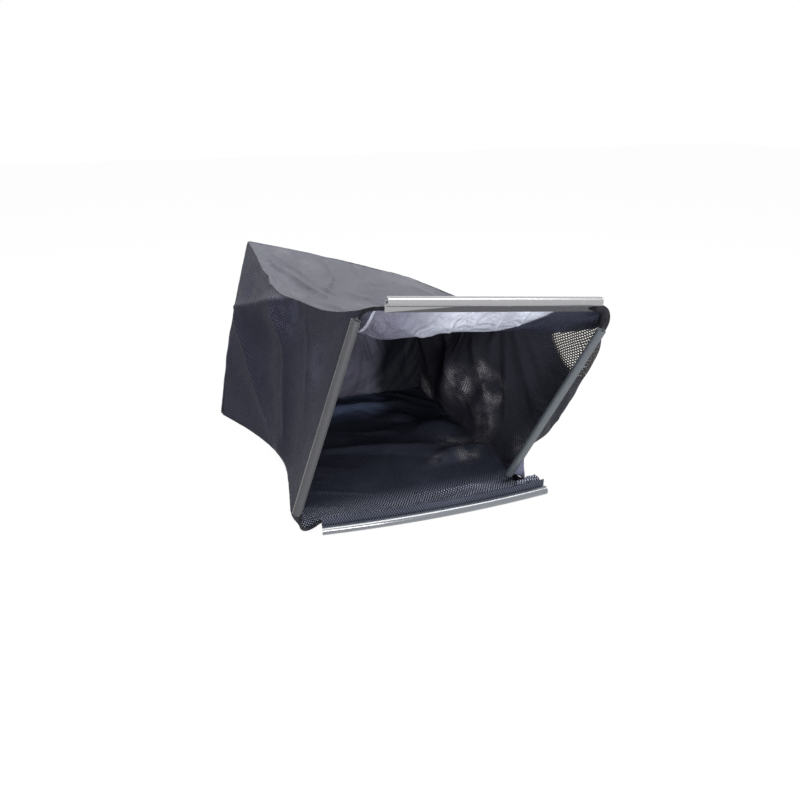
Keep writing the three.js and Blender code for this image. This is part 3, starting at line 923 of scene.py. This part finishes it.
bm = bmesh.new()
bmesh.ops.create_grid(bm, x_segments=1, y_segments=1, size=stageLook["floor"])
floorData = bpy.data.meshes.new("floor")
bm.to_mesh(floorData)
bm.free()
floor = bpy.data.objects.new("floor", floorData)
floor.location.z = -stageLook["drop"]
bpy.context.scene.collection.objects.link(floor)
floorMaterial, floorCoords, floorSurface = newMaterial("floor")
seen = seenRays(floorCoords)
floorSurface(Base_Color=(0.8, 0.8, 0.8, 1), Roughness=0.9, Specular_IOR_Level=0.1)
floorShader = Wire(floorMaterial.node_tree, floorMaterial.node_tree.nodes["Principled BSDF"].outputs[0])
glow = floorCoords.make("ShaderNodeEmission", None, {"Color": (1, 1, 1, 1), "Strength": stageLook["glow"]})
blend = floorCoords.make("ShaderNodeMixShader", None, {0: seen * stageLook["white"], 1: floorShader, 2: glow})
floorMaterial.node_tree.links.new(blend.socket, floorMaterial.node_tree.nodes["Material Output"].inputs[0])
floor.data.materials.append(floorMaterial)

world = bpy.data.worlds.new("studio")
bpy.context.scene.world = world
world.use_nodes = True
seenSky = seenRays(Wire(world.node_tree, None))
background = world.node_tree.nodes["Background"]
world.node_tree.links.new((seenSky * (1 - stageLook["world"]) + stageLook["world"]).socket,
                          background.inputs["Strength"])
background.inputs["Color"].default_value = (1, 1, 1, 1)

lamps = {
    "key": {"place": (0.5, -0.95, 1.9), "aim": (0.0, -0.1, 0.15), "size": (2.0, 0.9), "power": 30},
    "top": {"place": (-0.3, 0.5, 2.3), "aim": (0.0, 0.0, 0.1), "size": (0.9, 0.9), "power": 16},
    "fill": {"place": (-0.2, -2.1, 0.42), "aim": (0.0, 0.0, 0.15), "size": (0.8, 0.6), "power": 20},
}
for name, values in lamps.items():
    light = bpy.data.lights.new(name, "AREA")
    light.shape = "RECTANGLE"
    light.size, light.size_y = values["size"]
    light.energy = values["power"]
    lamp = bpy.data.objects.new(name, light)
    lamp.location = values["place"]
    aim = Vector(values["aim"]) - Vector(values["place"])
    lamp.rotation_euler = aim.to_track_quat("-Z", "Y").to_euler()
    bpy.context.scene.collection.objects.link(lamp)

cameraLook = {"aim": (-0.01781, -0.10529, 0.1496), "azimuth": -18.65, "elevation": 23.43,
              "distance": 1.271, "lens": 33.27}
azimuth, elevation = math.radians(cameraLook["azimuth"]), math.radians(cameraLook["elevation"])
back = Vector((math.sin(azimuth) * math.cos(elevation), -math.cos(azimuth) * math.cos(elevation),
               math.sin(elevation)))
lensData = bpy.data.cameras.new("camera")
lensData.lens = cameraLook["lens"]
camera = bpy.data.objects.new("camera", lensData)
camera.location = Vector(cameraLook["aim"]) + back * cameraLook["distance"]
camera.rotation_euler = (-back).to_track_quat("-Z", "Y").to_euler()
bpy.context.scene.collection.objects.link(camera)
bpy.context.scene.camera = camera
bpy.context.scene.view_settings.view_transform = "Standard"
print("stage set")
